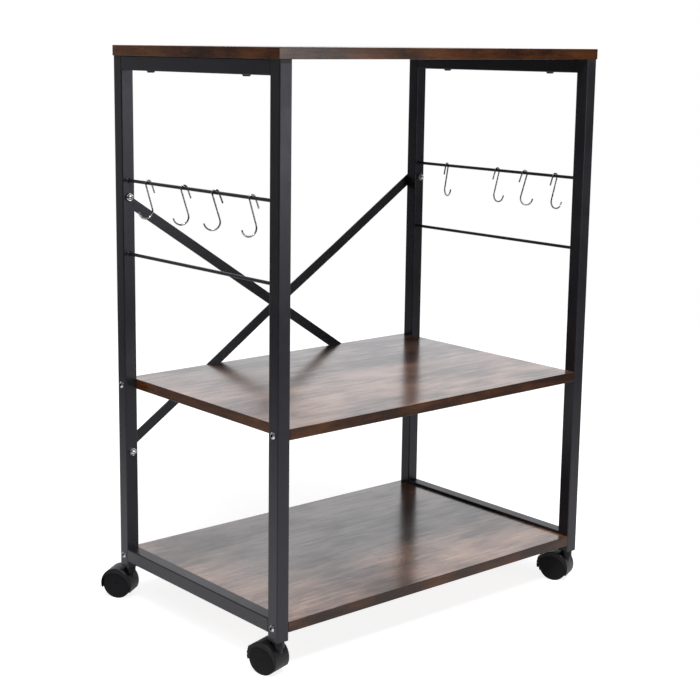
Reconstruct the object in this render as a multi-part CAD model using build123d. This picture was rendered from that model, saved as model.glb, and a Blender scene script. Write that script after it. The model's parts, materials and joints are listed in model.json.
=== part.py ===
"""Rolling kitchen shelf: three boards in a tube frame, hook rods, a cross brace and four twin-wheel casters.

Millimetres. X runs from left to right, Y from front to back, Z up, with the floor at Z = 0.
The origin is the middle of the footprint box on the floor.
"""
import os
from math import atan2, cos, degrees, hypot, radians, sin, sqrt

from build123d import *

# Boards
top_height = 824.5
top_side_overhang = 1.4
top_front_overhang = 0.5
board_thickness = 15.0
board_edge_round = 0.8
shelf_spacing = 263.0

# Side frames of welded square tube
frame_width = 597.2
frame_depth = 382.0
tube_size = 20.0
tube_wall = 1.2
tube_corner = 1.6
foot_to_bottom_rail = 8.0
rail_above_bottom_shelf = 4.0
hook_rod_drop = 176.6
rod_spacing = 106.4
rod_diameter = 4.8
weld_diameter = 7.6
weld_length = 2.2

# Plugs in the ends of the posts
cap_flange = 5.0
cap_depth = 18.0
cap_wall = 1.6
plug_clearance = 0.1
socket_flange = 2.0
socket_bolt_gap = 1.5

# Cross brace on the back
brace_upper_drop = 200.5
brace_lower_rise = 154.5
brace_bar_width = 15.0
brace_bar_thickness = 2.0
brace_flat_middle = 60.0
brace_ramp = 120.0

# Fasteners
bolt_diameter = 6.0
bolt_hole_clearance = 0.3
bolt_head_diameter = 9.5
bolt_head_height = 2.8
bolt_head_rim = 0.9
bolt_end_gap = 1.0
bolt_socket_flats = 4.4
bolt_socket_depth = 2.2
insert_diameter = 9.0
insert_length = 14.0
insert_clearance = 0.05
insert_end_gap = 2.0
nut_flats = 10.0
nut_height = 4.0
nut_shoulder = 0.8
nut_neck = 0.6
nut_end_gap = 0.5
brace_bolt_tip = 5.0
screw_diameter = 4.0
screw_head_diameter = 12.0
screw_head_height = 2.4
screw_head_taper = 1.4
screw_spacing = 220.0
screw_reach = 11.0
screw_end_gap = 1.0

# S-hooks of round wire
hook_wire = 2.4
hook_rod_gap = 0.3
hook_loop_radius = 4.5
hook_end_length = 16.0
hook_end_slant = 20.0
hook_shank_length = 35.6
hook_shank_slant = 16.5
hook_bend_radius = 11.0
hook_bend_turn = 188.0

# Where each hook hangs, as a share of half its rod's length, and its turn about the vertical in degrees
left_hooks = {1: (0.696, -3.0), 2: (0.181, -17.0), 3: (-0.246, -28.0), 4: (-0.719, -6.0)}
right_hooks = {5: (0.620, 19.0), 6: (-0.044, 0.0), 7: (-0.386, -16.0), 8: (-0.749, -4.0)}

# Twin-wheel casters
wheel_radius = 22.2
caster_width = 31.6
caster_trail = 16.8
web_thickness = 10.5
wheel_side_gap = 0.6
wheel_rim = 3.5
wheel_face = 3.0
wheel_dome = 0.9
wheel_edge = 1.4
wheel_hub_radius = 6.0
wheel_rib_count = 6
wheel_rib_thickness = 1.6
wheel_rib_recess = 2.0
wheel_rib_root = 0.5
wheel_bore_gap = 0.5
tread_gap = 0.6
hood_wall = 1.8
hood_edge = 0.8
skirt_wall = 1.0
skirt_gap = 0.3
skirt_depth = 5.2
skirt_flare = 1.5
skirt_shift = 2.1
hood_front_angle = -27.0
hood_rear_angle = 196.0
braked_hood_rear_angle = 143.0
web_radius = 16.5
swivel_gap = 2.7
boss_radius = 6.0
boss_collar_radius = 8.5
boss_floor = 6.0
stem_diameter = 7.0
stem_collar_flats = 13.0
stem_collar_height = 1.4
stem_collar_gap = 0.3
stem_in_caster = 23.6
stem_end_gap = 1.0
running_clearance = 0.05
axle_diameter = 5.0
axle_cover = 3.0

# How far each caster has swivelled about its stem, in degrees
caster_swivel = {"front_left": -74.0, "front_right": -68.0, "rear_left": -56.0, "rear_right": -65.0}
braked_casters = ("front_left", "front_right")

# Rocker brake behind the wheels: a strip that follows the treads, with a notched grip for the toe
brake_pin_edge = 3.0
brake_pivot_rise = 1.0
brake_pin_diameter = 3.0
brake_eye_radius = 3.2
brake_arm_thickness = 6.0
brake_arm_height = 6.0
brake_slot_gap = 0.4
brake_slot_height = 14.0
brake_strip_gap = 1.6
brake_strip_wall = 1.6
brake_strip_width = 18.0
brake_strip_start = 149.0
brake_strip_end = 207.0
brake_grip_height = 3.0
brake_grip_start = 155.0
brake_grip_end = 194.0
brake_notch_depth = 1.6
brake_notch_angle = 3.0
brake_notch_places = (167.0, 180.0)

# Derived positions
half_width = frame_width / 2
half_depth = frame_depth / 2
post_x = half_width - tube_size / 2
post_y = half_depth - tube_size / 2
inner_x = half_width - tube_size
inner_y = half_depth - tube_size
tube_inside = tube_size - 2 * tube_wall
plug_size = tube_inside - 2 * plug_clearance
top_width = frame_width + 2 * top_side_overhang
top_depth = frame_depth + 2 * top_front_overhang
top_underside = top_height - board_thickness
hook_rod_height = top_underside - hook_rod_drop
lower_rod_height = hook_rod_height - rod_spacing
hood_inner = wheel_radius + tread_gap
hood_outer = hood_inner + hood_wall
caster_height = wheel_radius + hood_outer + swivel_gap
post_foot = caster_height + socket_flange
post_top = top_underside - cap_flange
bottom_rail_height = post_foot + foot_to_bottom_rail + tube_size
bottom_shelf_height = bottom_rail_height - rail_above_bottom_shelf
middle_shelf_height = bottom_shelf_height + shelf_spacing
brace_upper_height = top_underside - brace_upper_drop
brace_lower_height = bottom_shelf_height + brace_lower_rise
middle_bolt_height = middle_shelf_height - board_thickness / 2
bottom_bolt_height = bottom_shelf_height - board_thickness / 2
bolt_hole_radius = bolt_diameter / 2 + bolt_hole_clearance
insert_pocket_depth = insert_length + insert_end_gap
nut_dome_radius = nut_flats / 2 - nut_shoulder
socket_depth = bottom_bolt_height - bolt_diameter / 2 - socket_bolt_gap - post_foot
stem_top = post_foot + socket_depth - stem_end_gap
boss_top = caster_height - stem_collar_height - stem_collar_gap
stem_foot = boss_top - stem_in_caster
boss_foot = stem_foot - stem_collar_gap - boss_floor
web_half = web_thickness / 2
wheel_inner_face = web_half + wheel_side_gap
hood_half = caster_width / 2
wheel_outer_face = hood_half - skirt_wall - skirt_gap
skirt_radius = hood_inner + skirt_flare
skirt_centre = hood_inner - skirt_depth - skirt_radius
axle_half_length = wheel_outer_face - axle_cover
brake_pivot_reach = web_radius - brake_pin_edge
brake_strip_inner = wheel_radius + brake_strip_gap
brake_strip_outer = brake_strip_inner + brake_strip_wall
brake_grip_radius = brake_strip_outer + brake_grip_height
side_sign = {"left": -1, "right": 1}
end_sign = {"front": -1, "rear": 1}


def along(radius, length, start, direction):
    """A round bar that starts at a point and runs in a direction."""
    bar = Cylinder(radius, length, align=(Align.CENTER, Align.CENTER, Align.MIN))
    return Plane(origin=start, z_dir=direction) * bar


def hexagon(flats, height):
    """A hexagonal prism on the XY plane, by its width across flats."""
    return extrude(RegularPolygon(flats / 2, 6, major_radius=False), amount=height)


def crown_arc(radius, base, height):
    """A shallow round crown on the axis, from its rim to its top, in the plane of a half profile."""
    ball = (radius ** 2 + height ** 2) / (2 * height)
    middle = radius / 2
    return ThreePointArc(
        (radius, base),
        (middle, base + height - ball + sqrt(ball ** 2 - middle ** 2)),
        (0, base + height),
    )


def square_tube(length):
    """A length of square tube with rounded corners, standing on the XY plane."""
    outside = RectangleRounded(tube_size, tube_size, tube_corner)
    inside = RectangleRounded(tube_inside, tube_inside, tube_corner - tube_wall)
    return extrude(outside - inside, amount=length)


def post(side, end):
    """One upright with the holes that its bolts pass through."""
    x = side_sign[side] * post_x
    y = end_sign[end] * post_y
    body = Pos(x, y, post_foot) * square_tube(post_top - post_foot)
    for height in (middle_bolt_height, bottom_bolt_height):
        body -= along(bolt_hole_radius, tube_size, (x - tube_size / 2, y, height), (1, 0, 0))
    if end == "rear":
        for height in (brace_upper_height, brace_lower_height):
            body -= along(bolt_hole_radius, tube_size, (x, y - tube_size / 2, height), (0, 1, 0))
    return body


def rail(side, top, drilled):
    """A horizontal tube between the two posts of one side frame."""
    x = side_sign[side] * post_x
    middle = top - tube_size / 2
    body = Pos(x, -inner_y, middle) * (Rot(-90, 0, 0) * square_tube(2 * inner_y))
    if drilled:
        for sign in (-1, 1):
            start = (x, sign * screw_spacing / 2, top - tube_size)
            body -= along(screw_diameter / 2 + bolt_hole_clearance, tube_size, start, (0, 0, 1))
    return body


def wire_rod(side, height):
    """A round rod between the posts, with a weld bead where each end meets its post."""
    profile = Polyline(
        (0, 0),
        (weld_diameter / 2, 0),
        (rod_diameter / 2, weld_length),
        (rod_diameter / 2, 2 * inner_y - weld_length),
        (weld_diameter / 2, 2 * inner_y),
        (0, 2 * inner_y),
        close=True,
    )
    rod = revolve(make_face(profile), Axis.Y)
    return Pos(side_sign[side] * post_x, -inner_y, height) * rod


def rounded_board(width, depth, top):
    """A board with softened edges, by its upper face."""
    board = Box(width, depth, board_thickness)
    board = fillet(board.edges(), board_edge_round)
    return Pos(0, 0, top - board_thickness / 2) * board


def top_board():
    """The worktop, drilled from below for its screws."""
    board = rounded_board(top_width, top_depth, top_height)
    for side in side_sign.values():
        for end in (-1, 1):
            start = (side * post_x, end * screw_spacing / 2, top_underside)
            board -= along(screw_diameter / 2, screw_reach + screw_end_gap, start, (0, 0, 1))
    return board


def shelf(top):
    """A board between the side frames, with a pocket for an insert at each bolt."""
    board = rounded_board(2 * inner_x, frame_depth, top)
    for side in side_sign.values():
        for end in (-1, 1):
            start = (side * inner_x, end * post_y, top - board_thickness / 2)
            board -= along(insert_diameter / 2 + insert_clearance, insert_pocket_depth, start, (-side, 0, 0))
    return board


def shelf_inserts(height):
    """Threaded sleeves in the ends of one board."""
    sleeves = []
    for side in side_sign.values():
        for end in (-1, 1):
            start = (side * inner_x, end * post_y, height)
            sleeve = along(insert_diameter / 2, insert_length, start, (-side, 0, 0))
            sleeve -= along(bolt_diameter / 2 + insert_clearance, insert_length, start, (-side, 0, 0))
            sleeves.append(sleeve)
    return sleeves


def button_bolt(length):
    """A bolt with a low domed head and a hexagon socket; its shank runs down from Z = 0."""
    radius = bolt_head_diameter / 2
    shank = bolt_diameter / 2
    with BuildSketch(Plane.XZ) as half:
        with BuildLine():
            Polyline((0, bolt_head_height), (0, -length), (shank, -length), (shank, 0))
            Polyline((shank, 0), (radius, 0), (radius, bolt_head_rim))
            crown_arc(radius, bolt_head_rim, bolt_head_height - bolt_head_rim)
        make_face()
    bolt = revolve(half.sketch, Axis.Z)
    recess = Pos(0, 0, bolt_head_height - bolt_socket_depth) * hexagon(bolt_socket_flats, bolt_head_height)
    return bolt - recess


def shelf_bolts(height):
    """Bolts through the four posts into the ends of one board."""
    bolts = []
    length = tube_size + insert_length - bolt_end_gap
    for side in side_sign.values():
        for end in (-1, 1):
            seat = Plane(origin=(side * half_width, end * post_y, height), z_dir=(side, 0, 0))
            bolts.append(seat * button_bolt(length))
    return bolts


def brace_ends():
    """The four places where the brace is bolted to the rear posts: side sign and height."""
    return [(side, z) for side in (-1, 1) for z in (brace_upper_height, brace_lower_height)]


def brace_bar(rising, bowed):
    """A flat bar across the back; the bowed one passes behind the other where they cross."""
    run = 2 * post_x
    rise = brace_upper_height - brace_lower_height
    length = hypot(run, rise)
    slope = degrees(atan2(rise, run)) * (1 if rising else -1)
    half = length / 2 + brace_bar_width / 2
    bow = brace_bar_thickness if bowed else 0.0
    start = brace_flat_middle / 2
    stop = start + brace_ramp
    near = [(-half, 0), (-stop, 0), (-start, bow), (start, bow), (stop, 0), (half, 0)]
    far = [(u, w + brace_bar_thickness) for u, w in reversed(near)]
    strip = extrude(make_face(Polyline(*(near + far), close=True)), amount=brace_bar_width / 2, both=True)
    depth = bow + brace_bar_thickness
    outline = extrude(SlotOverall(2 * half, brace_bar_width), amount=depth, both=True)
    strip = strip & (Rot(90, 0, 0) * outline)
    for end in (-1, 1):
        strip -= along(bolt_hole_radius, brace_bar_thickness, (end * length / 2, 0, 0), (0, 1, 0))
    middle = (brace_upper_height + brace_lower_height) / 2
    return Pos(0, half_depth, middle) * (Rot(0, -slope, 0) * strip)


def brace_bolts():
    """Bolts from behind, through the bar ends and the rear posts."""
    bolts = []
    length = brace_bar_thickness + tube_size + brace_bolt_tip
    for side, z in brace_ends():
        seat = Plane(origin=(side * post_x, half_depth + brace_bar_thickness, z), z_dir=(0, 1, 0))
        bolts.append(seat * button_bolt(length))
    return bolts


def cap_nut():
    """A hexagon nut with a domed end, standing on the XY plane, open to a bolt from below."""
    body = hexagon(nut_flats, nut_height)
    body += Pos(0, 0, nut_height) * Cylinder(
        nut_dome_radius, nut_neck, align=(Align.CENTER, Align.CENTER, Align.MIN)
    )
    dome = Pos(0, 0, nut_height + nut_neck) * Sphere(nut_dome_radius)
    keep = Pos(0, 0, nut_height + nut_neck) * Box(
        nut_flats, nut_flats, nut_flats, align=(Align.CENTER, Align.CENTER, Align.MIN)
    )
    body += dome & keep
    depth = brace_bolt_tip + nut_end_gap
    return body - Cylinder(
        bolt_diameter / 2 + insert_clearance, depth, align=(Align.CENTER, Align.CENTER, Align.MIN)
    )


def brace_nuts():
    """Cap nuts on the front faces of the rear posts."""
    nuts = []
    for side, z in brace_ends():
        seat = Plane(origin=(side * post_x, inner_y, z), z_dir=(0, -1, 0))
        nuts.append(seat * cap_nut())
    return nuts


def top_screws():
    """Truss-head screws up through the top rails into the worktop."""
    screws = []
    head_z = top_underside - tube_size
    for side in side_sign.values():
        for end in (-1, 1):
            x = side * post_x
            y = end * screw_spacing / 2
            screw = along(screw_diameter / 2, tube_size + screw_reach, (x, y, head_z), (0, 0, 1))
            head = Cone(
                screw_head_diameter / 2 - screw_head_taper,
                screw_head_diameter / 2,
                screw_head_height,
                align=(Align.CENTER, Align.CENTER, Align.MAX),
            )
            screws.append(screw + Pos(x, y, head_z) * head)
    return screws


def corner_posts():
    """The plan position of each post, by name."""
    places = {}
    for end, end_value in end_sign.items():
        for side, side_value in side_sign.items():
            places[f"{end}_{side}"] = (side_value * post_x, end_value * post_y)
    return places


def post_caps():
    """Hollow plugs that close the upper ends of the posts, level with the top rails."""
    flange = extrude(RectangleRounded(tube_size, tube_size, tube_corner), amount=cap_flange)
    plug = extrude(RectangleRounded(plug_size, plug_size, tube_corner - tube_wall), amount=-cap_depth)
    hollow = plug_size - 2 * cap_wall
    pocket = extrude(Rectangle(hollow, hollow), amount=-cap_depth)
    cap = flange + (plug - pocket)
    return [Pos(x, y, post_top) * cap for x, y in corner_posts().values()]


def caster_sockets():
    """Plugs in the lower ends of the posts, each with a bore for a caster stem."""
    flange = extrude(RectangleRounded(tube_size, tube_size, tube_corner), amount=-socket_flange)
    plug = extrude(RectangleRounded(plug_size, plug_size, tube_corner - tube_wall), amount=socket_depth)
    bore = Pos(0, 0, -socket_flange) * Cylinder(
        stem_diameter / 2 + insert_clearance,
        socket_flange + socket_depth,
        align=(Align.CENTER, Align.CENTER, Align.MIN),
    )
    socket = flange + plug - bore
    return [Pos(x, y, post_foot) * socket for x, y in corner_posts().values()]


def caster_stems():
    """Round stems with a hexagon collar, fixed in the sockets; the casters turn on their lower ends."""
    shaft = along(stem_diameter / 2, stem_top - stem_foot, (0, 0, stem_foot), (0, 0, 1))
    collar = Pos(0, 0, caster_height - stem_collar_height) * hexagon(stem_collar_flats, stem_collar_height)
    stem = shaft + collar
    return [Pos(x, y, 0) * stem for x, y in corner_posts().values()]


def s_hook():
    """One hook in the XZ plane around a rod at the origin; its short end lies towards +X."""
    loop_z = rod_diameter / 2 + hook_rod_gap + hook_wire / 2 - hook_loop_radius
    slant = radians(hook_shank_slant)
    end_slant = radians(hook_end_slant)
    end_start = (hook_loop_radius * cos(end_slant), loop_z + hook_loop_radius * sin(end_slant))
    end_tip = (
        end_start[0] + hook_end_length * sin(end_slant),
        end_start[1] - hook_end_length * cos(end_slant),
    )
    shank_top = (-hook_loop_radius * cos(slant), loop_z - hook_loop_radius * sin(slant))
    shank_foot = (
        shank_top[0] + hook_shank_length * sin(slant),
        shank_top[1] - hook_shank_length * cos(slant),
    )
    bend_centre = (
        shank_foot[0] - hook_bend_radius * cos(slant),
        shank_foot[1] - hook_bend_radius * sin(slant),
    )
    short_end = Line(end_tip, end_start)
    loop = CenterArc((0, loop_z), hook_loop_radius, hook_end_slant, 180 + hook_shank_slant - hook_end_slant)
    shank = Line(shank_top, shank_foot)
    bend = CenterArc(bend_centre, hook_bend_radius, hook_shank_slant, -hook_bend_turn)
    path = Wire([short_end.edge(), loop.edge(), shank.edge(), bend.edge()])
    start = Plane(origin=(end_tip[0], end_tip[1], 0), z_dir=(-sin(end_slant), cos(end_slant), 0))
    wire = sweep(start * Circle(hook_wire / 2), path=path)
    return Rot(90, 0, 0) * wire


def hung_hook(side, place):
    """A hook on its rod: the short end points to the inside of the cart."""
    share, turn = place
    facing = 0 if side == "left" else 180
    hook = Rot(0, 0, facing + turn) * s_hook()
    return Pos(side_sign[side] * post_x, share * inner_y, hook_rod_height) * hook


def open_sector(rear_angle):
    """The wedge about the axle that the hood leaves open, wider than the hood."""
    reach = 2 * hood_outer
    rim = CenterArc((0, 0), reach, rear_angle, hood_front_angle + 360 - rear_angle)
    return make_face([rim, Line(rim @ 1, (0, 0)), Line((0, 0), rim @ 0)])


def ring_sector(inner, outer, start, end):
    """A flat piece of ring about the axle, between two angles."""
    far = CenterArc((0, 0), outer, start, end - start)
    near = CenterArc((0, 0), inner, start, end - start)
    return make_face([far, Line(far @ 1, near @ 1), near, Line(near @ 0, far @ 0)])


def hood_shell(rear_angle):
    """The curved guard over both wheels, about an axle at the origin."""
    edge = hood_edge
    profile = Polyline(
        (-hood_half, hood_inner),
        (hood_half, hood_inner),
        (hood_half, hood_outer - edge),
        (hood_half - edge, hood_outer),
        (-hood_half + edge, hood_outer),
        (-hood_half, hood_outer - edge),
        close=True,
    )
    ring = revolve(make_face(profile), Axis.X)
    ring = Rot(0, 0, 90) * ring
    waste = extrude(Plane.XZ * open_sector(rear_angle), amount=caster_width, both=True)
    return ring - waste


def hood_skirts(rear_angle):
    """The two side walls of the hood, which hang over the upper edges of the wheels."""
    brow = Circle(hood_inner + hood_wall / 2) - Pos(-skirt_shift, skirt_centre) * Circle(skirt_radius)
    brow -= open_sector(rear_angle)
    wall = extrude(Plane.XZ.offset(hood_half - skirt_wall) * brow, amount=skirt_wall)
    return wall + mirror(wall, about=Plane.XZ)


def wheel_space():
    """The room that the two wheels turn in, on both sides of the web."""
    room = along(hood_inner, caster_width, (0, web_half, 0), (0, 1, 0))
    return room + along(hood_inner, caster_width, (0, -web_half, 0), (0, -1, 0))


def caster_body(braked):
    """Hood, web and stem boss of one caster, with its stem axis on Z and its trail towards -X."""
    axle = Pos(-caster_trail, 0, wheel_radius)
    rear_angle = braked_hood_rear_angle if braked else hood_rear_angle
    web = Circle(web_radius) + (Circle(hood_inner + hood_wall / 2) - open_sector(rear_angle))
    body = hood_shell(rear_angle) + hood_skirts(rear_angle)
    body += extrude(Plane.XZ * web, amount=web_half, both=True)
    body = axle * body
    boss = along(boss_radius, boss_top - boss_foot, (0, 0, boss_foot), (0, 0, 1))
    boss += along(boss_collar_radius, boss_collar_radius, (0, 0, boss_top - boss_collar_radius), (0, 0, 1))
    body += boss - axle * wheel_space()
    body -= along(boss_collar_radius, caster_height, (0, 0, boss_top), (0, 0, 1))
    body -= along(
        stem_diameter / 2 + running_clearance, caster_height, (0, 0, stem_foot - stem_collar_gap), (0, 0, 1)
    )
    body -= axle * along(axle_diameter / 2, caster_width, (0, -caster_width / 2, 0), (0, 1, 0))
    if braked:
        body -= axle * brake_slot()
        body -= axle * brake_pivot() * along(
            brake_pin_diameter / 2, web_thickness, (0, -web_half, 0), (0, 1, 0)
        )
    return body


def brake_pivot():
    """Where the rocker turns, from the axle."""
    return Pos(-brake_pivot_reach, 0, brake_pivot_rise)


def brake_slot():
    """The slot in the web that the rocker's arm moves in."""
    floor = brake_pivot_reach - brake_eye_radius - brake_slot_gap
    slot = Box(
        web_radius,
        brake_arm_thickness + 2 * brake_slot_gap,
        brake_slot_height,
        align=(Align.MAX, Align.CENTER, Align.CENTER),
    )
    return Pos(-floor, 0, brake_pivot_rise) * slot


def polar(radius, angle):
    """A point about the axle, by its radius and its angle in degrees."""
    return (radius * cos(radians(angle)), radius * sin(radians(angle)))


def pedal_outline():
    """The side view of the brake's pedal about the axle: a curved strip and a grip with notches."""
    outline = ring_sector(brake_strip_inner, brake_strip_outer, brake_strip_start, brake_strip_end)
    outline += ring_sector(brake_strip_inner, brake_grip_radius, brake_grip_start, brake_grip_end)
    for place in brake_notch_places:
        outline -= make_face(Polyline(
            polar(brake_grip_radius + brake_notch_depth, place - brake_notch_angle),
            polar(brake_grip_radius + brake_notch_depth, place + brake_notch_angle),
            polar(brake_grip_radius - brake_notch_depth, place),
            close=True,
        ))
    return outline


def brake_rocker():
    """The brake's rocker about the axle: an eye on the pivot pin, an arm and the pedal."""
    arm_length = brake_strip_inner + brake_strip_wall / 2 - brake_pivot_reach
    eye_and_arm = Circle(brake_eye_radius)
    eye_and_arm += Pos(-arm_length / 2, 0) * Rectangle(arm_length, brake_arm_height)
    arm = extrude(Plane.XZ * eye_and_arm, amount=brake_arm_thickness / 2, both=True)
    pedal = extrude(Plane.XZ * pedal_outline(), amount=brake_strip_width / 2, both=True)
    rocker = brake_pivot() * arm + pedal
    bore = along(
        brake_pin_diameter / 2 + running_clearance, web_thickness, (0, -web_half, 0), (0, 1, 0)
    )
    return rocker - brake_pivot() * bore


def brake_pin():
    """The pin that the rocker turns on."""
    return brake_pivot() * along(brake_pin_diameter / 2, web_thickness, (0, -web_half, 0), (0, 1, 0))


def caster_wheel():
    """One wheel about the Y axis, on the +Y side: domed face, tread, hub and ribs inside."""
    inner = wheel_inner_face
    outer = wheel_outer_face
    tread = wheel_radius
    edge = wheel_edge
    floor = outer - wheel_face
    bore = axle_diameter / 2 + running_clearance
    bore_end = axle_half_length + wheel_bore_gap
    shoulder = outer - wheel_dome
    rim_in = tread - wheel_rim
    with BuildSketch() as half:
        with BuildLine():
            Polyline((0, bore_end), (bore, bore_end), (bore, inner), (wheel_hub_radius, inner))
            Polyline((wheel_hub_radius, inner), (wheel_hub_radius, floor), (rim_in, floor), (rim_in, inner))
            Polyline((rim_in, inner), (tread - edge, inner), (tread, inner + edge), (tread, shoulder - edge))
            ThreePointArc(
                (tread, shoulder - edge),
                (tread - edge * (1 - sqrt(0.5)), shoulder - edge * (1 - sqrt(0.5))),
                (tread - edge, shoulder),
            )
            crown_arc(tread - edge, shoulder, wheel_dome)
            Line((0, outer), (0, bore_end))
        make_face()
    wheel = revolve(half.sketch, Axis.Y)
    middle = (wheel_hub_radius + rim_in) / 2
    rib = Pos(middle, floor + wheel_rib_root, 0) * Box(
        rim_in - wheel_hub_radius + 2 * wheel_rib_root,
        floor + wheel_rib_root - inner - wheel_rib_recess,
        wheel_rib_thickness,
        align=(Align.CENTER, Align.MAX, Align.CENTER),
    )
    for step in range(wheel_rib_count):
        wheel += Rot(0, 360 / wheel_rib_count * step, 0) * rib
    return wheel


def caster_parts(name):
    """All separate pieces of one caster, in place."""
    x, y = corner_posts()[name]
    place = Pos(x, y, 0) * Rot(0, 0, caster_swivel[name])
    axle_place = place * Pos(-caster_trail, 0, wheel_radius)
    braked = name in braked_casters
    parts = {
        f"{name}_caster_body": place * caster_body(braked),
        f"{name}_caster_axle": axle_place * along(
            axle_diameter / 2, 2 * axle_half_length, (0, -axle_half_length, 0), (0, 1, 0)
        ),
        f"{name}_wheel_inner": axle_place * caster_wheel(),
        f"{name}_wheel_outer": axle_place * (Rot(0, 0, 180) * caster_wheel()),
    }
    if braked:
        parts[f"{name}_brake_rocker"] = axle_place * brake_rocker()
        parts[f"{name}_brake_pin"] = axle_place * brake_pin()
    return parts


def build_nodes():
    """Every separate piece of the shelf, by name, as a list of its solids."""
    nodes = {
        "top_board": top_board(),
        "middle_board": shelf(middle_shelf_height),
        "bottom_board": shelf(bottom_shelf_height),
    }
    for side in side_sign:
        for end in end_sign:
            nodes[f"{end}_{side}_post"] = post(side, end)
        nodes[f"{side}_top_rail"] = rail(side, top_underside, True)
        nodes[f"{side}_bottom_rail"] = rail(side, bottom_rail_height, False)
        nodes[f"{side}_hook_rod"] = wire_rod(side, hook_rod_height)
        nodes[f"{side}_lower_rod"] = wire_rod(side, lower_rod_height)
    nodes["brace_bar_falling"] = brace_bar(False, False)
    nodes["brace_bar_rising"] = brace_bar(True, True)
    nodes["middle_shelf_bolts"] = shelf_bolts(middle_bolt_height)
    nodes["bottom_shelf_bolts"] = shelf_bolts(bottom_bolt_height)
    nodes["middle_shelf_inserts"] = shelf_inserts(middle_bolt_height)
    nodes["bottom_shelf_inserts"] = shelf_inserts(bottom_bolt_height)
    nodes["brace_bolts"] = brace_bolts()
    nodes["brace_nuts"] = brace_nuts()
    nodes["top_screws"] = top_screws()
    nodes["post_caps"] = post_caps()
    nodes["caster_sockets"] = caster_sockets()
    nodes["caster_stems"] = caster_stems()
    for number, place in left_hooks.items():
        nodes[f"hook_{number}"] = hung_hook("left", place)
    for number, place in right_hooks.items():
        nodes[f"hook_{number}"] = hung_hook("right", place)
    for name in corner_posts():
        nodes.update(caster_parts(name))
    return {name: node if isinstance(node, list) else [node] for name, node in nodes.items()}


def footprint_middle(nodes):
    """The middle of the whole object's box, seen from above."""
    boxes = [solid.bounding_box() for solids in nodes.values() for solid in solids]
    low_x = min(box.min.X for box in boxes)
    high_x = max(box.max.X for box in boxes)
    low_y = min(box.min.Y for box in boxes)
    high_y = max(box.max.Y for box in boxes)
    return (low_x + high_x) / 2, (low_y + high_y) / 2


def main():
    """Build every piece about the frame's centre, shift it to the footprint's middle and write it."""
    os.makedirs("parts", exist_ok=True)
    nodes = build_nodes()
    middle_x, middle_y = footprint_middle(nodes)
    print("footprint middle from the frame's centre, mm:", round(middle_x, 4), round(middle_y, 4))
    for name, solids in nodes.items():
        moved = [Pos(-middle_x, -middle_y, 0) * solid for solid in solids]
        export_step(moved[0] if len(moved) == 1 else Compound(moved), f"parts/{name}.step")


main()
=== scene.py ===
# %% [markdown]
# # A rolling kitchen shelf
# This lesson finishes a CAD model for a studio picture. The object is three boards of brown
# printed laminate in a black tube frame, with a cross brace, eight S-hooks and four casters.
# The shapes come from the CAD frame and stay where they are. A finish is what is missing, so
# the steps below make one material after another, and then floor, room, lamps and camera.
# All lengths are in metres, Z is up and the floor is at Z = 0.

# %% Load the frame
import json
import math

import bpy
from mathutils import Matrix, Vector

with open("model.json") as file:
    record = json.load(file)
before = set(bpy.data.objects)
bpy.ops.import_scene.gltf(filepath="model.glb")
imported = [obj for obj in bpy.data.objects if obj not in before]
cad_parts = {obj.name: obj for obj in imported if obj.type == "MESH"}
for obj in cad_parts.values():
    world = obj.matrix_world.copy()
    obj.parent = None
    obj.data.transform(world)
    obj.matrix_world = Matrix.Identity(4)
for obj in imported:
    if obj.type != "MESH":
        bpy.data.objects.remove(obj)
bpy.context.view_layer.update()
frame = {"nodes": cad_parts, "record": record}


# %% [markdown]
# ## Small helpers for node trees
# Every finish here is a tree of nodes that ends in one Principled shader. Node trees can be
# drawn by hand in the shader editor, but a script keeps them the same on every run. These
# helpers each add one node, join what feeds it and give back its output, so a finish reads
# like a list of layers. The first two start a finish and join things up.

# %% Helpers that start and join
def start_finish(name):
    """A new material, with its node tree and its Principled shader."""
    finish = bpy.data.materials.new(name)
    finish.use_nodes = True
    tree = finish.node_tree
    tree.nodes.clear()
    shader = tree.nodes.new("ShaderNodeBsdfPrincipled")
    output = tree.nodes.new("ShaderNodeOutputMaterial")
    tree.links.new(shader.outputs["BSDF"], output.inputs["Surface"])
    return finish, tree, shader


def feed(tree, socket, value):
    """Join an output to an input, or set the input to a plain value."""
    if isinstance(value, bpy.types.NodeSocket):
        tree.links.new(value, socket)
    else:
        socket.default_value = value


print("a finish starts with one shader and one output")

# %% [markdown]
# Patterns come next. Object coordinates are in metres and stay with a piece when it moves, so a
# pattern can be given its real size: the coordinates are divided by that size before they reach
# the noise. The noise itself then always has a scale of one. Its values could reach from 0 to 1,
# but nearly all of them lie in the middle of that range.

# %% Helpers for patterns
noise_low = 0.3
noise_high = 0.7


def place_on_piece(tree):
    """Coordinates in metres that stay with the piece when it moves."""
    return tree.nodes.new("ShaderNodeTexCoord").outputs["Object"]


def even(size):
    """One size for all three axes."""
    return size, size, size


def drawn_out(tree, where, sizes):
    """Coordinates in units of a pattern's own size along X, Y and Z."""
    node = tree.nodes.new("ShaderNodeMapping")
    feed(tree, node.inputs["Vector"], where)
    node.inputs["Scale"].default_value = [1 / size for size in sizes]
    return node.outputs["Vector"]


def cloud(tree, where, detail, roughness, distortion=0.0):
    """Soft noise from 0 to 1."""
    node = tree.nodes.new("ShaderNodeTexNoise")
    feed(tree, node.inputs["Vector"], where)
    node.inputs["Scale"].default_value = 1.0
    node.inputs["Detail"].default_value = detail
    node.inputs["Roughness"].default_value = roughness
    node.inputs["Distortion"].default_value = distortion
    return node.outputs["Fac"]


print("patterns are measured in metres; most noise lies between", noise_low, "and", noise_high)

# %% [markdown]
# Patterns are added, compared and stretched before they become anything visible. Blender has
# one node for sums on numbers, one for sums on vectors and one that stretches a range, and each
# gets a helper.

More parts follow.
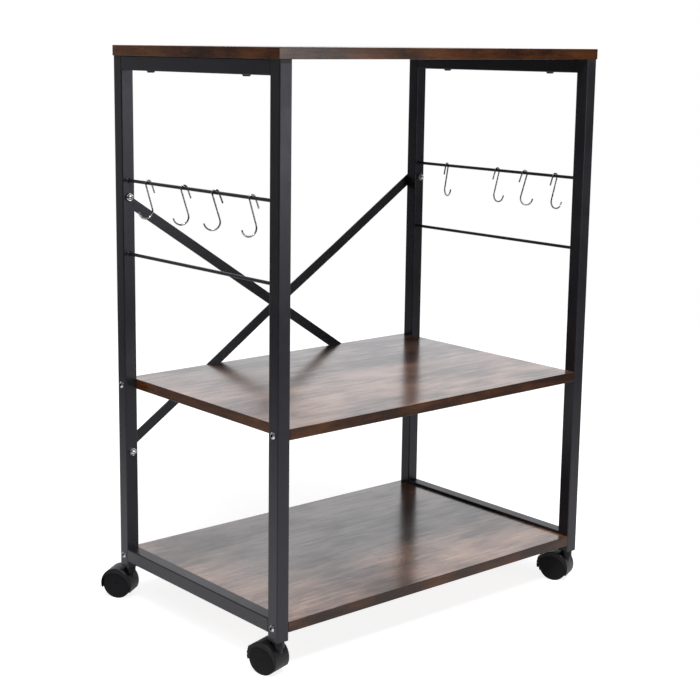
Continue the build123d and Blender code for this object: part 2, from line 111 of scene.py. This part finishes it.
# %% Helpers for sums
def number(tree, operation, first, second=0.0, clamp=False):
    """One sum on numbers."""
    node = tree.nodes.new("ShaderNodeMath")
    node.operation = operation
    node.use_clamp = clamp
    feed(tree, node.inputs[0], first)
    feed(tree, node.inputs[1], second)
    return node.outputs["Value"]


def vector(tree, operation, first, second=(0.0, 0.0, 0.0)):
    """One sum on vectors. A length and a dot product come out as numbers."""
    node = tree.nodes.new("ShaderNodeVectorMath")
    node.operation = operation
    feed(tree, node.inputs[0], first)
    feed(tree, node.inputs[1], second)
    gives_number = operation in ("LENGTH", "DOT_PRODUCT")
    return node.outputs["Value" if gives_number else "Vector"]


def spread(tree, value, low, high, to_low=0.0, to_high=1.0):
    """Stretch the part of a pattern between low and high over a new range, and cut off the rest."""
    node = tree.nodes.new("ShaderNodeMapRange")
    node.interpolation_type = "SMOOTHSTEP"
    feed(tree, node.inputs["Value"], value)
    limits = {"From Min": low, "From Max": high, "To Min": to_low, "To Max": to_high}
    for socket, limit in limits.items():
        node.inputs[socket].default_value = limit
    return node.outputs["Result"]


print("sums work on numbers and on vectors")

# %% [markdown]
# The last helpers turn patterns into colours and press them into the surface. The Mix node
# keeps a set of sockets for each kind of data, all with the same names, so the sockets for
# vectors and for colours are picked by their numbers.

# %% Helpers for colours and relief
mix_vector_under, mix_vector_over, mix_vector_result = 4, 5, 1
mix_colour_under, mix_colour_over, mix_colour_result = 6, 7, 2


def tones(tree, value, stops):
    """A colour for each value, from a list of places and colours."""
    node = tree.nodes.new("ShaderNodeValToRGB")
    ramp = node.color_ramp
    while len(ramp.elements) < len(stops):
        ramp.elements.new(position=0.5)
    for element, (place, colour) in zip(ramp.elements, stops):
        element.position = place
        element.color = (*colour, 1.0)
    feed(tree, node.inputs["Fac"], value)
    return node.outputs["Color"]


def laid_over(tree, amount, under, over, mode="MIX"):
    """One colour layer over another."""
    node = tree.nodes.new("ShaderNodeMix")
    node.data_type = "RGBA"
    node.blend_type = mode
    feed(tree, node.inputs["Factor"], amount)
    feed(tree, node.inputs[mix_colour_under], under)
    feed(tree, node.inputs[mix_colour_over], over)
    return node.outputs[mix_colour_result]


def relief(tree, shader, height, depth):
    """Raise the surface by a pattern, up to a depth in metres."""
    node = tree.nodes.new("ShaderNodeBump")
    node.inputs["Strength"].default_value = 1.0
    node.inputs["Distance"].default_value = depth
    feed(tree, node.inputs["Height"], height)
    tree.links.new(node.outputs["Normal"], shader.inputs["Normal"])


print("helpers ready")

# %% [markdown]
# ## The laminate on the boards
# The boards are chipboard under a printed film that copies old timber: a dark brown ground,
# long tan streaks, almost black stains and fine pores pressed into the film. A photographed
# plank would do for one view, but it tiles and carries no scale. Noise that is drawn out
# along the grain gives the same layers at their true sizes. The faces of a board are printed
# along X; the strip on each end runs along Y, so there the coordinates change places. Faces and
# strips are told apart by the direction that the surface points in, with the change about half
# way round a corner. Last, a step through the endless print picks the stretch that is cut out.

# %% Coordinates along the grain
half_way_round = 0.7
place_in_print = (2.3, 0.55, -0.2)


def grain_places(tree):
    """Coordinates with the grain along their first axis, and masks for the edges and the ends."""
    texture = tree.nodes.new("ShaderNodeTexCoord")
    axes = tree.nodes.new("ShaderNodeSeparateXYZ")
    tree.links.new(texture.outputs["Object"], axes.inputs["Vector"])
    facing = tree.nodes.new("ShaderNodeSeparateXYZ")
    tree.links.new(texture.outputs["Normal"], facing.inputs["Vector"])
    sideways = number(tree, "ABSOLUTE", facing.outputs["X"])
    upright = number(tree, "ABSOLUTE", facing.outputs["Z"])
    on_end = number(tree, "GREATER_THAN", sideways, half_way_round)
    on_edge = number(tree, "LESS_THAN", upright, half_way_round)
    turned = tree.nodes.new("ShaderNodeCombineXYZ")
    for target, source in zip("XYZ", "YXZ"):
        tree.links.new(axes.outputs[source], turned.inputs[target])
    chosen = tree.nodes.new("ShaderNodeMix")
    chosen.data_type = "VECTOR"
    feed(tree, chosen.inputs["Factor"], on_end)
    feed(tree, chosen.inputs[mix_vector_under], texture.outputs["Object"])
    feed(tree, chosen.inputs[mix_vector_over], turned.outputs["Vector"])
    cut_out = vector(tree, "ADD", chosen.outputs[mix_vector_result], place_in_print)
    return cut_out, on_edge, on_end


laminate, tree, shader = start_finish("rustic_laminate")
grain, on_edge, on_end = grain_places(tree)
print("grain runs along X on the faces and along Y on the end strips")

# %% [markdown]
# Five layers make the print. Broad bands follow the planks that were copied, clouds are the
# tan and dark patches that make old timber look used, streaks are the year rings, stains are
# nearly black, and pores are short dark ticks. Each is noise with its own length along the
# grain and width across it. Bands, clouds and streaks are added up, each with its share.

# %% Layers of the print
bands_share = 0.22
clouds_share = 0.48
streaks_share = 0.30


def grain_marks(length, width, detail, roughness, distortion=0.0):
    """Noise in marks that are long along the grain and narrow across it, both ways."""
    return cloud(tree, drawn_out(tree, grain, (length, width, width)), detail, roughness, distortion)


bands = grain_marks(length=0.60, width=0.110, detail=2.0, roughness=0.5, distortion=0.3)
clouds = grain_marks(length=0.125, width=0.070, detail=6.0, roughness=0.62, distortion=0.25)
streaks = grain_marks(length=0.075, width=0.0068, detail=5.0, roughness=0.62, distortion=0.1)
stains = grain_marks(length=0.140, width=0.080, detail=6.0, roughness=0.64, distortion=0.2)
pores = grain_marks(length=0.020, width=0.0012, detail=2.0, roughness=0.5)
banded = number(tree, "MULTIPLY", bands, bands_share)
clouded = number(tree, "MULTIPLY", clouds, clouds_share)
streaked = number(tree, "MULTIPLY", streaks, streaks_share)
mixture = number(tree, "ADD", number(tree, "ADD", banded, clouded), streaked)
print("shares of bands, clouds and streaks:", bands_share, clouds_share, streaks_share)

# %% [markdown]
# The mixture picks one of four browns, from dark to tan. Stains and pores go over it. The
# narrow edges are darker glued strips. Those on the two ends get painted light, which makes
# them a shade lighter. Both multiply the print by a tint instead of taking a brown of their own.

# %% Colours of the print
dark_print = (0.014, 0.0078, 0.0060)
ground_print = (0.074, 0.0350, 0.0220)
warm_print = (0.185, 0.0900, 0.0520)
tan_print = (0.340, 0.1950, 0.1200)
print_stops = [(0.37, dark_print), (0.46, ground_print), (0.54, warm_print), (0.66, tan_print)]
pore_colour = (0.008, 0.0042, 0.0028)
edge_tint = (0.35, 0.225, 0.10, 1.0)
# painted light: the strips on the two ends are tinted lighter than the long edges
end_painted_light_tint = (0.52, 0.34, 0.16, 1.0)

print_colour = tones(tree, mixture, print_stops)
stain_cover = spread(tree, stains, low=0.50, high=0.74, to_high=0.70)
print_colour = laid_over(tree, stain_cover, print_colour, (*dark_print, 1.0))
pore_cover = spread(tree, pores, low=0.60, high=0.70, to_high=0.50)
print_colour = laid_over(tree, pore_cover, print_colour, (*pore_colour, 1.0))
# the strip tint, with painted light on the end strips
strip_tint_and_painted_light = laid_over(tree, on_end, edge_tint, end_painted_light_tint)
edge_colour = laid_over(tree, 1.0, print_colour, strip_tint_and_painted_light, "MULTIPLY")
print_colour = laid_over(tree, on_edge, print_colour, edge_colour)
tree.links.new(print_colour, shader.inputs["Base Color"])
print("browns in the print:", len(print_stops))

# %% [markdown]
# The print lies under a clear film, and seen at a low angle it mirrors the bright sweep behind
# the shelf. The mirror image is a little stronger over the pale parts than over the dark ones,
# because the film was pressed to feel like timber. A coat layer and the shader's own shine
# share the work. The strips on the edges have no film.

# %% The film over the print
film_roughness = 0.20
film_relief = 0.000015
edge_shine = 0.33
stain_dulling = 0.3
dark_part = 0.40
pale_part = 0.60

roughness = spread(tree, streaks, noise_low, noise_high, to_low=0.24, to_high=0.19)
tree.links.new(roughness, shader.inputs["Roughness"])
on_face = number(tree, "SUBTRACT", 1.0, on_edge)
dulled = number(tree, "MULTIPLY", stain_cover, stain_dulling)
bare_shine = spread(tree, mixture, dark_part, pale_part, to_low=0.56, to_high=0.82)
film_shine = number(tree, "SUBTRACT", bare_shine, dulled, clamp=True)
face_shine = number(tree, "MULTIPLY", film_shine, on_face)
shine = number(tree, "ADD", face_shine, number(tree, "MULTIPLY", on_edge, edge_shine))
tree.links.new(shine, shader.inputs["Specular IOR Level"])
film_amount = spread(tree, mixture, dark_part, pale_part, to_low=0.46, to_high=0.72)
tree.links.new(number(tree, "MULTIPLY", film_amount, on_face), shader.inputs["Coat Weight"])
shader.inputs["Coat Roughness"].default_value = film_roughness
relief(tree, shader, number(tree, "SUBTRACT", streaks, pore_cover), film_relief)
print("laminate nodes:", len(tree.nodes))

# %% [markdown]
# ## Powder coat on the tubes
# The frame is coated with black powder that was melted on in an oven. A plain black shader
# would pass for plastic, because this coat never flows out quite flat: a fine orange peel is
# left, and the gloss changes slightly from spot to spot. Two sizes of noise give both. The
# black is a little blue, as cheap black pigment is.

# %% The powder coat
coat_black = (0.0075, 0.0073, 0.0088)
coat_worn = (0.0105, 0.0102, 0.0122)
coat_stops = [(0.35, coat_black), (0.70, coat_worn)]
coat_shine = 0.42
coat_tint = (0.97, 0.95, 1.08, 1.0)
peel_size = 0.0014
peel_depth = 0.00004
patch_size = 0.06

powder_coat, tree, shader = start_finish("black_powder_coat")
where = place_on_piece(tree)
peel = cloud(tree, drawn_out(tree, where, even(peel_size)), detail=2.0, roughness=0.5)
patches = cloud(tree, drawn_out(tree, where, even(patch_size)), detail=3.0, roughness=0.6)
tree.links.new(tones(tree, patches, coat_stops), shader.inputs["Base Color"])
roughness = spread(tree, patches, noise_low, noise_high, to_low=0.30, to_high=0.36)
tree.links.new(roughness, shader.inputs["Roughness"])
shader.inputs["Specular IOR Level"].default_value = coat_shine
shader.inputs["Specular Tint"].default_value = coat_tint
relief(tree, shader, peel, peel_depth)
print("powder coat nodes:", len(tree.nodes))

# %% [markdown]
# ## Bright and blackened fasteners
# The shelf bolts and cap nuts are zinc plated: grey metal with a soft, slightly patchy shine.
# The screws under the top and the bolts behind the brace are blackened steel, darker and
# duller. Both are metals, so their colour is the colour of the mirror image in them. Hollows,
# such as the six-sided sockets of the bolts, get painted shade, which makes them almost black.
# It could be painted by hand, but an ambient occlusion node finds the hollows on every bolt,
# since it measures how much nearby surface surrounds a point.

# %% Metal finishes
hollow_reach = 0.004
# the colour of the painted shade in hollows
hollow_shade_colour = (0.02, 0.02, 0.02, 1.0)
tarnish_size = 0.004


def metal_finish(name, dull, shiny, roughness_low, roughness_high, scratch_size, scratch_depth):
    """A metal with patchy tarnish, fine scratches and painted shade in its hollows."""
    finish, tree, shader = start_finish(name)
    where = place_on_piece(tree)
    tarnish = cloud(tree, drawn_out(tree, where, even(tarnish_size)), detail=4.0, roughness=0.6)
    scratches = cloud(tree, drawn_out(tree, where, scratch_size), detail=2.0, roughness=0.5)
    plate = tones(tree, tarnish, [(0.35, dull), (0.65, shiny)])
    # painted shade: ambient occlusion darkens the colour in hollows and where parts close in
    openness = tree.nodes.new("ShaderNodeAmbientOcclusion")
    openness.only_local = True
    openness.inputs["Distance"].default_value = hollow_reach
    painted_hollow_shade = spread(tree, openness.outputs["AO"], low=0.45, high=0.80, to_low=1.0, to_high=0.0)
    tree.links.new(laid_over(tree, painted_hollow_shade, plate, hollow_shade_colour), shader.inputs["Base Color"])
    roughness = spread(tree, tarnish, noise_low, noise_high, roughness_high, roughness_low)
    tree.links.new(roughness, shader.inputs["Roughness"])
    shader.inputs["Metallic"].default_value = 1.0
    relief(tree, shader, scratches, scratch_depth)
    return finish


fine_grit = even(0.0004)
bright_steel = metal_finish(
    "zinc_plate", dull=(0.46, 0.46, 0.47), shiny=(0.64, 0.64, 0.65),
    roughness_low=0.22, roughness_high=0.36, scratch_size=fine_grit, scratch_depth=0.000012,
)
black_steel = metal_finish(
    "blackened_steel", dull=(0.018, 0.018, 0.020), shiny=(0.050, 0.050, 0.054),
    roughness_low=0.32, roughness_high=0.48, scratch_size=fine_grit, scratch_depth=0.000015,
)
axle_steel = metal_finish(
    "drawn_axle_steel", dull=(0.36, 0.36, 0.37), shiny=(0.52, 0.52, 0.53),
    roughness_low=0.25, roughness_high=0.40, scratch_size=fine_grit, scratch_depth=0.000012,
)
print("fastener finishes:", bright_steel.name, black_steel.name, axle_steel.name)

# %% [markdown]
# ## Chrome on the hooks
# The S-hooks are bent from drawn wire and then chromed. Chrome is nearly a mirror, so most of
# its look comes from the room around it, and the same metal finish serves with less roughness.
# Faint lines from drawing the wire, long along the hook, break the mirror up a little.

# %% The chrome
drawing_lines = (0.0006, 0.0006, 0.006)
chrome_wire = metal_finish(
    "chromed_wire", dull=(0.24, 0.24, 0.25), shiny=(0.38, 0.38, 0.39),
    roughness_low=0.07, roughness_high=0.14, scratch_size=drawing_lines, scratch_depth=0.000008,
)
print("hook finish:", chrome_wire.name)

# %% [markdown]
# ## Moulded black plastics
# The end plugs, the caster hoods and the wheels are moulded nylon. The mould was spark
# eroded, which leaves an even, fine grain that takes the shine off. One black for all of them
# would hide where a hood ends and a wheel begins, so each gets its own shade. The wheels have
# rolled a little and are the dullest.

# %% Plastic finishes
handling_size = 0.012


def moulded_finish(name, dark, light, shine, roughness_low, roughness_high, grain_size, grain_depth):
    """Black plastic with the fine grain of its mould, which takes away most of the shine."""
    finish, tree, shader = start_finish(name)
    where = place_on_piece(tree)
    spark_grain = cloud(tree, drawn_out(tree, where, even(grain_size)), detail=2.0, roughness=0.5)
    handling = cloud(tree, drawn_out(tree, where, even(handling_size)), detail=4.0, roughness=0.6)
    tree.links.new(tones(tree, handling, [(0.35, dark), (0.70, light)]), shader.inputs["Base Color"])
    roughness = spread(tree, handling, noise_low, noise_high, roughness_low, roughness_high)
    tree.links.new(roughness, shader.inputs["Roughness"])
    shader.inputs["Specular IOR Level"].default_value = shine
    relief(tree, shader, spark_grain, grain_depth)
    return finish


black_plastic = moulded_finish(
    "plug_plastic", dark=(0.009, 0.009, 0.0102), light=(0.013, 0.013, 0.0145), shine=0.40,
    roughness_low=0.42, roughness_high=0.52, grain_size=0.0007, grain_depth=0.00003,
)
caster_plastic = moulded_finish(
    "hood_nylon", dark=(0.0040, 0.0039, 0.0050), light=(0.0062, 0.0060, 0.0077), shine=0.22,
    roughness_low=0.36, roughness_high=0.48, grain_size=0.0007, grain_depth=0.00003,
)
wheel_plastic = moulded_finish(
    "wheel_nylon", dark=(0.0045, 0.0043, 0.0056), light=(0.0070, 0.0067, 0.0086), shine=0.13,
    roughness_low=0.46, roughness_high=0.60, grain_size=0.0008, grain_depth=0.00004,
)
print("plastics:", black_plastic.name, caster_plastic.name, wheel_plastic.name)

# %% [markdown]
# ## Give every node its finish
# The record of the model names a material slot for each node. A table from slot to finish
# dresses all the nodes in one loop, and a slot that is missing from the table stops the
# script instead of leaving a grey piece behind.

# %% Dress the nodes
finishes = {
    "laminate": laminate,
    "powder_coat": powder_coat,
    "bright_steel": bright_steel,
    "black_steel": black_steel,
    "black_plastic": black_plastic,
    "chrome_wire": chrome_wire,
    "caster_plastic": caster_plastic,
    "wheel_plastic": wheel_plastic,
    "axle_steel": axle_steel,
}
slot_of_node = {part["node"]: part["material_slot"] for part in frame["record"]["subparts"]}
dressed = {}
for node_name, piece in frame["nodes"].items():
    slot = slot_of_node[node_name]
    for material_slot in piece.material_slots:
        material_slot.material = finishes[slot]
    dressed[slot] = dressed.get(slot, 0) + 1
print("nodes in each finish:", dressed)

# %% [markdown]
# ## The floor
# The picture has no horizon, only white. A floor gives the shelf something to stand on and
# keeps its shadow. A curved backdrop is the usual way, but the room behind can be made white
# without one, so a single flat square is enough.

# %% The floor
floor_half = 2.2
floor_mesh = bpy.data.meshes.new("studio_floor")
corners = [(-floor_half, -floor_half, 0), (floor_half, -floor_half, 0),
           (floor_half, floor_half, 0), (-floor_half, floor_half, 0)]
floor_mesh.from_pydata(corners, [], [(0, 1, 2, 3)])
floor = bpy.data.objects.new("studio_floor", floor_mesh)
bpy.context.collection.objects.link(floor)
print("floor side in m:", 2 * floor_half)

# %% [markdown]
# Strong lamps could light the floor until it is white, but they would bleach the boards too. So
# for the camera the floor glows a little, with no more light on the object. Mirror images show
# it white near the shelf and dark further off, where no lamp points. A Light Path node tells
# which of the two is asking.

# %% The finish of the floor
floor_glow = 0.86
mirrored_glow = 0.52
floor_white = (0.50, 0.50, 0.50, 1.0)
far_floor = (0.10, 0.10, 0.10, 1.0)
bright_floor_end = 0.4
dark_floor_start = 2.3

floor_finish, tree, shader = start_finish("studio_floor")
tree.nodes.remove(shader)
path = tree.nodes.new("ShaderNodeLightPath")
by_camera = path.outputs["Is Camera Ray"]
by_mirror = path.outputs["Is Glossy Ray"]
distance = vector(tree, "LENGTH", place_on_piece(tree))
far_off = spread(tree, distance, bright_floor_end, dark_floor_start)
dimmed = number(tree, "MULTIPLY", far_off, by_mirror)
matt = tree.nodes.new("ShaderNodeBsdfDiffuse")
feed(tree, matt.inputs["Color"], laid_over(tree, dimmed, floor_white, far_floor))
fading = spread(tree, distance, bright_floor_end, dark_floor_start, to_low=mirrored_glow, to_high=0.0)
mirrored = number(tree, "MULTIPLY", fading, by_mirror)
looked_at = number(tree, "MULTIPLY", by_camera, floor_glow)
glow = tree.nodes.new("ShaderNodeEmission")
feed(tree, glow.inputs["Strength"], number(tree, "MAXIMUM", looked_at, mirrored))
both = tree.nodes.new("ShaderNodeAddShader")
tree.links.new(matt.outputs["BSDF"], both.inputs[0])
tree.links.new(glow.outputs["Emission"], both.inputs[1])
output = next(node for node in tree.nodes if node.type == "OUTPUT_MATERIAL")
tree.links.new(both.outputs["Shader"], output.inputs["Surface"])
floor.data.materials.append(floor_finish)
print("the floor glows for the camera at", floor_glow, "and in mirror images at", mirrored_glow)

# %% [markdown]
# ## The room
# Behind the shelf hangs a white sweep. The rest of the room is an ordinary, darker one, and it
# is seen only in shiny pieces: without it, chrome on white would have no dark lines and would
# vanish, and black paint would look grey. A picture of a room could do this, but only the
# compass direction matters here, so a gradient from the sweep to the photographer's side is
# enough. Flattening a direction and making its length one again leaves the compass direction.

# %% The room
photographer_side = (-0.637, -0.771, 0.0)
flattened = (1.0, 1.0, 0.0)

room = bpy.data.worlds.new("white_room")
bpy.context.scene.world = room
room.use_nodes = True
tree = room.node_tree
background = next(node for node in tree.nodes if node.type == "BACKGROUND")
direction = tree.nodes.new("ShaderNodeTexCoord").outputs["Generated"]
compass = vector(tree, "NORMALIZE", vector(tree, "MULTIPLY", direction, flattened))
towards_photographer = vector(tree, "DOT_PRODUCT", compass, photographer_side)
print("the photographer stands towards", photographer_side)

# %% [markdown]
# The camera sees plain white. Mirror images see the gradient, in a slightly cool white, as a
# cloth sweep in daylight has. Soft light that bounces about gets a weak, even share from all
# sides, so the deepest corners don't go fully black.

# %% The light of the room
room_light = 0.09
sweep_end = -0.92
dark_room_start = 0.0
sweep_light = 1.0
dark_room_light = 0.10
plain_white = (1.0, 1.0, 1.0, 1.0)
cool_white = (0.972, 0.974, 1.0, 1.0)

path = tree.nodes.new("ShaderNodeLightPath")
by_camera = path.outputs["Is Camera Ray"]
by_mirror = path.outputs["Is Glossy Ray"]
mirrored = spread(
    tree, towards_photographer, sweep_end, dark_room_start, to_low=sweep_light, to_high=dark_room_light
)
in_shine = number(tree, "MULTIPLY", mirrored, by_mirror)
shown = number(tree, "MAXIMUM", by_camera, in_shine)
seen = number(tree, "MAXIMUM", by_camera, by_mirror)
soft = spread(tree, seen, low=0.0, high=1.0, to_low=room_light, to_high=0.0)
feed(tree, background.inputs["Color"], laid_over(tree, by_mirror, plain_white, cool_white))
feed(tree, background.inputs["Strength"], number(tree, "ADD", shown, soft))
print("floor and sweep are white; the rest of the room mirrors at", dark_room_light)

# %% [markdown]
# ## Soft studio lamps
# Product pictures are lit with large cloth boxes, because a large lamp makes soft shadows and
# broad, quiet highlights. The main box hangs high in front, so each board shades the back of
# the one below it. A box at the front right puts the pale sheen on the front edge of the top
# board and on the near post. It stands low, so a camera behind the shelf and well above the
# boards doesn't see it mirrored in them. Weak boxes on the left and overhead fill what is left
# dark.

# %% The lamps
middle_of_shelf = Vector((0.0, 0.0, 0.42))


def softbox(name, place, width, height, power):
    """A large rectangular lamp, with its power in watts, that points at the middle of the shelf."""
    lamp = bpy.data.lights.new(name, "AREA")
    lamp.shape = "RECTANGLE"
    lamp.size = width
    lamp.size_y = height
    lamp.energy = power
    box = bpy.data.objects.new(name, lamp)
    box.location = place
    box.rotation_mode = "QUATERNION"
    box.rotation_quaternion = (middle_of_shelf - Vector(place)).to_track_quat("-Z", "Y")
    bpy.context.collection.objects.link(box)


softbox("front_right_box", place=(1.15, -2.35, 0.64), width=0.8, height=0.66, power=8.5)
softbox("left_box", place=(-1.9, -0.7, 2.6), width=1.4, height=1.4, power=16.0)
softbox("front_high_box", place=(-0.7, -1.8, 3.8), width=2.0, height=1.4, power=180.0)
softbox("overhead_box", place=(0.0, -0.2, 2.8), width=2.2, height=2.0, power=10.0)

# %% [markdown]
# ## The camera
# The picture was taken from the front left, just above the top board, with a fairly long lens.
# Its place, direction and lens were found by laying the known edges of the shelf over the
# picture. A camera can be aimed at a point, but then it can't lean, and this one was held very
# slightly askew. So its direction is worked out from three angles, in radians.

# %% The direction of the camera
camera_yaw = 0.69028
camera_pitch = -0.18088
camera_roll = 0.00907

forward = Vector((
    math.sin(camera_yaw) * math.cos(camera_pitch),
    math.cos(camera_yaw) * math.cos(camera_pitch),
    math.sin(camera_pitch),
))
level_right = Vector((math.cos(camera_yaw), -math.sin(camera_yaw), 0.0))
level_up = level_right.cross(forward)
right = math.cos(camera_roll) * level_right + math.sin(camera_roll) * level_up
up = math.cos(camera_roll) * level_up - math.sin(camera_roll) * level_right
print("the camera looks along", [round(part, 3) for part in forward])

# %% [markdown]
# The middle of the lens isn't in the middle of the picture, because the picture was cropped, and
# a small lens shift does the same here. The picture's size, the focal length and the lens centre
# are in pixels. The sensor's width turns the focal length into the millimetres that Blender
# wants, and the shift is a share of the picture's size.

# %% The camera
camera_place = Vector((-1.42516, -1.64381, 0.82984))
picture_size = 700.0
focal_length = 1473.17
lens_centre = (309.74, 312.18)
sensor_width = 36.0

camera_data = bpy.data.cameras.new("studio_camera")
camera_data.sensor_width = sensor_width
camera_data.lens = focal_length / picture_size * sensor_width
camera_data.shift_x = (picture_size / 2 - lens_centre[0]) / picture_size
camera_data.shift_y = (lens_centre[1] - picture_size / 2) / picture_size
camera = bpy.data.objects.new("studio_camera", camera_data)
camera.matrix_world = Matrix((right, up, -forward)).transposed().to_4x4()
camera.location = camera_place
bpy.context.collection.objects.link(camera)
bpy.context.scene.camera = camera
bpy.context.scene.view_settings.view_transform = "Standard"
print("lens in mm:", round(camera_data.lens, 2))
